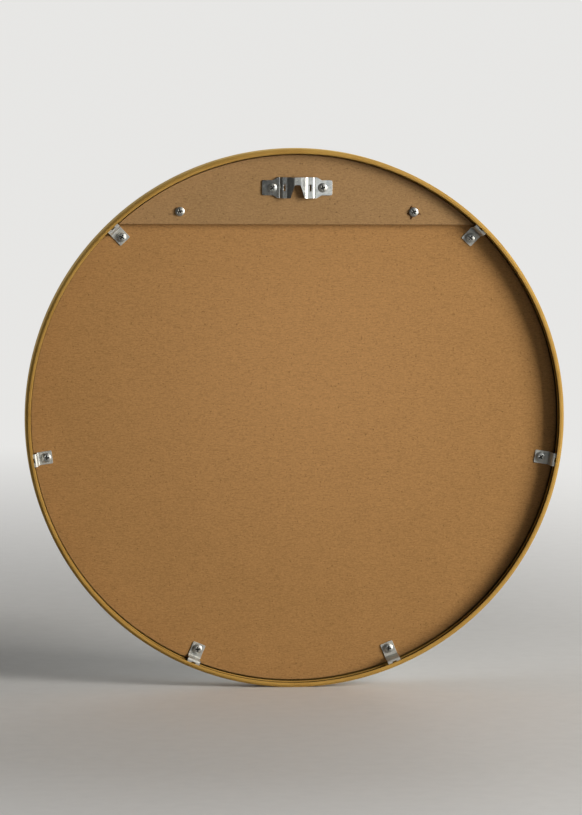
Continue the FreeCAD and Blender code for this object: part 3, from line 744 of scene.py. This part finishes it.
def zinc_plating(name, turn, rough, sunk=False):
    """Bright zinc on stamped steel: cool and warm clouds, fine drawing lines and dull patches.

    Where the surface map tells how deep a recess is, its bottom is painted darker: painted shade in the
    recess.
    """
    material, tree, shader = finish(name)
    even = place_on(tree, EVEN)
    clouds = grain(tree, even, 160.0)
    drawn = grain(tree, place_on(tree, (120.0, 120.0, 5200.0), turn=turn), 1.0)
    dull = grain(tree, even, 420.0, detail=4.0, roughness=0.65)
    base = tint(tree, spread(tree, clouds, (0.35, 0.65), (0.0, 1.0)), ZINC_COOL, ZINC_WARM)
    base = tint(tree, spread(tree, dull, (0.55, 0.75), (0.0, 0.5)), base, ZINC_DULL)
    if sunk:
        # Painted shade: the deeper the recess, the darker its colour.
        depth = measure(tree, place_on(tree, EVEN, "surface"), "X")
        base = tint(tree, spread(tree, depth, (0.0003, 0.0011), (0.0, 0.92)), base, RECESS_PAINTED_SHADE)
    tree.links.new(base, shader.inputs["Base Color"])
    lined = spread(tree, drawn, (0.25, 0.75), (rough - 0.04, rough + 0.04))
    patched = spread(tree, dull, (0.4, 0.7), (0.0, 0.1))
    tree.links.new(combined(tree, "ADD", lined, patched), shader.inputs["Roughness"])
    height = combined(tree, "ADD", drawn, dull)
    tree.links.new(relief(tree, height, strength=0.08, distance=0.00005), shader.inputs["Normal"])
    shader.inputs["Metallic"].default_value = 1.0
    return material


def silvered_glass(name):
    """Mirror: silver under clear float glass, with a trace of haze."""
    material, tree, shader = finish(name)
    haze = grain(tree, place_on(tree, EVEN), 11.0, detail=4.0, roughness=0.55)
    base = tint(tree, spread(tree, haze, (0.35, 0.65), (0.0, 1.0)), SILVER_HAZY, SILVER_CLEAR)
    tree.links.new(base, shader.inputs["Base Color"])
    tree.links.new(spread(tree, haze, (0.3, 0.8), (0.012, 0.035)), shader.inputs["Roughness"])
    shader.inputs["Metallic"].default_value = 1.0
    shader.inputs["Coat Weight"].default_value = 1.0
    shader.inputs["Coat Roughness"].default_value = 0.01
    shader.inputs["Coat IOR"].default_value = 1.52
    return material


# ---------------------------------------------------------------- the mirror

gold = satin_gold("ring_satin_gold")
# The back panel's lighter middle colour is painted light.
panel_board = fibreboard(
    "back_panel_fibreboard",
    pale=seen(171, 127, 75),
    dark=seen(166, 123, 72),
    turn=(0.0, 0.35, 0.0),
    painted_light_middle=seen(181, 135, 83),
)
hanger_wood = fibreboard(
    "hanger_board_fibreboard", pale=seen(166, 130, 87), dark=seen(161, 126, 83), turn=(0.0, -0.6, 0.0)
)
plate_zinc = zinc_plating("hanger_plate_zinc", turn=(0.0, 0.0, 0.0), rough=0.19)
clip_zinc = zinc_plating("clip_zinc", turn=(0.0, 0.9, 0.0), rough=0.56)
screw_zinc = zinc_plating("screw_zinc", turn=(0.0, 0.4, 0.0), rough=0.33, sunk=True)
mirror_finish = silvered_glass("mirror_silvered_glass")
torn_wood = fibreboard("torn_fibres", pale=seen(120, 86, 52), dark=seen(92, 62, 36), turn=(0.4, 0.2, 0.3))


def fit(piece, node_name, body, material):
    """Puts a piece in place of a node, on its body and with its finish."""
    piece.data.materials.append(material)
    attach(piece, body)
    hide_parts(node_name)


def fit_screw(name, length, place):
    """A screw in place of its node."""
    fit(screw_piece(name, length, place), name, "mirror", screw_zinc)


fit(ring_piece(), "frame_ring", "mirror", gold)
fit(panel_piece(), "back_panel", "mirror", panel_board)
fit(board_piece(), "hanger_board", "mirror", hanger_wood)
fit(plate_piece(), "hanger_plate", "mirror", plate_zinc)
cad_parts["mirror_glass"].material_slots[0].material = mirror_finish

for side, sign in (("left", 1.0), ("right", -1.0)):
    board_place = (sign * BOARD_SCREW_SIDE, BOARD_BACK, BOARD_SCREW_LEVEL)
    plate_place = (sign * PLATE_SCREW_SIDE, BOARD_BACK + PLATE_THICK, PLATE_LEVEL)
    fit_screw("board_screw_" + side, BOARD_SCREW_LENGTH, board_place)
    fit_screw("plate_screw_" + side, PLATE_SCREW_LENGTH, plate_place)

torn_fibres = torn_fibres_piece((-BOARD_SCREW_SIDE, BOARD_BACK, BOARD_SCREW_LEVEL))
torn_fibres.data.materials.append(torn_wood)
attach(torn_fibres, "mirror")

for side, degrees in CLIP_ANGLES.items():
    angle = math.radians(degrees)
    clip_place = (CLIP_CIRCLE * math.sin(angle), PANEL_BACK + CLIP_THICK, CLIP_CIRCLE * math.cos(angle))
    fit(clip_piece(side), "clip_" + side, "clip_" + side, clip_zinc)
    fit_screw("clip_screw_" + side, CLIP_SCREW_LENGTH, clip_place)


# ---------------------------------------------------------------- floor, light and camera

# Sizes are in metres from here on.
FLOOR_LEVEL = -0.25
FLOOR_HALF = 30.0
FLOOR_NEAR = 0.5
FLOOR_LINES = 12
FLOOR_FADE = (0.5, 2.2)
FLOOR_ROUGH = 0.7
FLOOR_LOW = (0.78, 0.775, 0.76, 1.0)
FLOOR_HIGH = (0.81, 0.805, 0.79, 1.0)
FLOOR_SENDS_BACK = (0.3, 0.295, 0.285, 1.0)
PALE_GROUND = (0.80, 0.795, 0.78, 1.0)
STUDIO_LIGHT = (1.0, 0.985, 0.95, 1.0)
STUDIO_STRENGTH = 0.05
GLASS_SIDE_FADE = (0.2, -0.2)


def looked_at_share(tree, before_glass):
    """One for what the camera sees, and for what it sees in the glass on that side of the mirror."""
    ray = node(tree, "LightPath", {}, {})
    in_glass = combined(tree, "MULTIPLY", ray.outputs["Is Glossy Ray"], before_glass)
    return combined(tree, "MAXIMUM", ray.outputs["Is Camera Ray"], in_glass)


steps = np.geomspace(FLOOR_NEAR, FLOOR_HALF, FLOOR_LINES)
steps = np.concatenate([-steps[::-1], steps]) / MM
across, away = np.meshgrid(steps, steps, indexing="ij")
floor = lay_surface("floor", np.stack([across, away, np.full_like(across, FLOOR_LEVEL / MM)], axis=-1))
floor_paint, tree, shader = finish("floor_pale_paint")
even = place_on(tree, EVEN)
speckle = grain(tree, even, 60.0, roughness=0.5)
pale = tint(tree, spread(tree, speckle, (0.3, 0.7), (0.0, 1.0)), FLOOR_LOW, FLOOR_HIGH)
shader.inputs["Roughness"].default_value = FLOOR_ROUGH
# Away from the mirror the floor fades into an even pale ground, for what looks at it straight or in the
# glass. The light that it sends back to the mirror stays low.
far = spread(tree, distance_of(tree, place_on(tree, ACROSS_FLOOR)), FLOOR_FADE, (0.0, 1.0))
looked_at = looked_at_share(tree, spread(tree, measure(tree, even, "Y"), GLASS_SIDE_FADE, (0.0, 1.0)))
tree.links.new(tint(tree, looked_at, FLOOR_SENDS_BACK, pale), shader.inputs["Base Color"])
share = combined(tree, "MULTIPLY", far, looked_at)
ground = node(tree, "Emission", {}, {"Color": PALE_GROUND, "Strength": 1.0})
mixed = node(tree, "MixShader", {}, {0: share, 1: shader.outputs[0], 2: ground.outputs[0]})
tree.links.new(mixed.outputs[0], tree.nodes["Material Output"].inputs["Surface"])
floor.data.materials.append(floor_paint)

world = bpy.data.worlds.new("studio")
bpy.context.scene.world = world
world.use_nodes = True
tree = world.node_tree
studio = tree.nodes["Background"]
studio.inputs["Color"].default_value = STUDIO_LIGHT
studio.inputs["Strength"].default_value = STUDIO_STRENGTH
backdrop = node(tree, "Background", {}, {"Color": PALE_GROUND, "Strength": 1.0})
facing = measure(tree, node(tree, "TexCoord", {}, {}).outputs["Generated"], "Y")
looked_at = looked_at_share(tree, spread(tree, facing, GLASS_SIDE_FADE, (0.0, 1.0)))
mixed = node(tree, "MixShader", {}, {0: looked_at, 1: studio.outputs[0], 2: backdrop.outputs[0]})
tree.links.new(mixed.outputs[0], tree.nodes["World Output"].inputs["Surface"])


def soft_lamp(name, place, width, height, power, colour):
    """A flat soft lamp at a place, turned towards the middle of the mirror."""
    lamp = bpy.data.lights.new(name, "AREA")
    lamp.shape = "RECTANGLE"
    lamp.size = width
    lamp.size_y = height
    lamp.energy = power
    lamp.color = colour
    holder = bpy.data.objects.new(name, lamp)
    bpy.context.scene.collection.objects.link(holder)
    place = Vector(place)
    holder.rotation_euler = (-place).to_track_quat("-Z", "Y").to_euler()
    holder.location = place
    holder.visible_camera = False


RIGHT_LAMP_DISTANCE = 4.0
toward_right = Vector((-1.46, 1.0, 0.41)).normalized()
right_place = toward_right * RIGHT_LAMP_DISTANCE
soft_lamp("right_lamp", right_place, width=1.8, height=2.8, power=204.0, colour=(1.0, 0.97, 0.92))
soft_lamp("right_card", (-1.15, 3.5, 0.2), width=1.6, height=1.6, power=9.0, colour=(0.95, 0.98, 1.0))
soft_lamp("front_lamp", (-1.2, -2.6, 0.15), width=1.2, height=1.2, power=22.0, colour=(1.0, 0.98, 0.95))

# The camera looks at the back. The ring's centre and half width are given in pixels of the picture.
VIEW_DISTANCE = 5.0
VIEW_RISE = math.radians(5.5)
VIEW_SIDE = math.radians(5.5)
VIEW_ROLL = math.radians(0.45)
PICTURE_WIDTH = 582.0
PICTURE_HEIGHT = 815.0
RING_CENTRE = (295.0, 418.2)
RING_PIXELS = 269.8
RING_HALF = 0.25
camera_data = bpy.data.cameras.new("photo_view")
camera_data.sensor_fit = "VERTICAL"
camera_data.sensor_height = 36.0
pixels_per_metre = RING_PIXELS / RING_HALF
focal_pixels = pixels_per_metre * VIEW_DISTANCE
camera_data.lens = focal_pixels * camera_data.sensor_height / PICTURE_HEIGHT
camera_data.clip_end = 100.0
camera = bpy.data.objects.new("photo_view", camera_data)
bpy.context.scene.collection.objects.link(camera)
outward = Vector((
    math.sin(VIEW_SIDE) * math.cos(VIEW_RISE),
    math.cos(VIEW_SIDE) * math.cos(VIEW_RISE),
    math.sin(VIEW_RISE),
))
rightward = Vector((0.0, 0.0, 1.0)).cross(outward).normalized()
upward = outward.cross(rightward)
aim = (
    -rightward * (RING_CENTRE[0] - PICTURE_WIDTH / 2) / pixels_per_metre
    + upward * (RING_CENTRE[1] - PICTURE_HEIGHT / 2) / pixels_per_metre
)
stand = outward * VIEW_DISTANCE
turn = (aim - stand).to_track_quat("-Z", "Y").to_matrix() @ Matrix.Rotation(VIEW_ROLL, 3, "Z")
camera.matrix_world = Matrix.Translation(stand) @ turn.to_4x4()
bpy.context.scene.camera = camera
bpy.context.scene.view_settings.view_transform = "Standard"
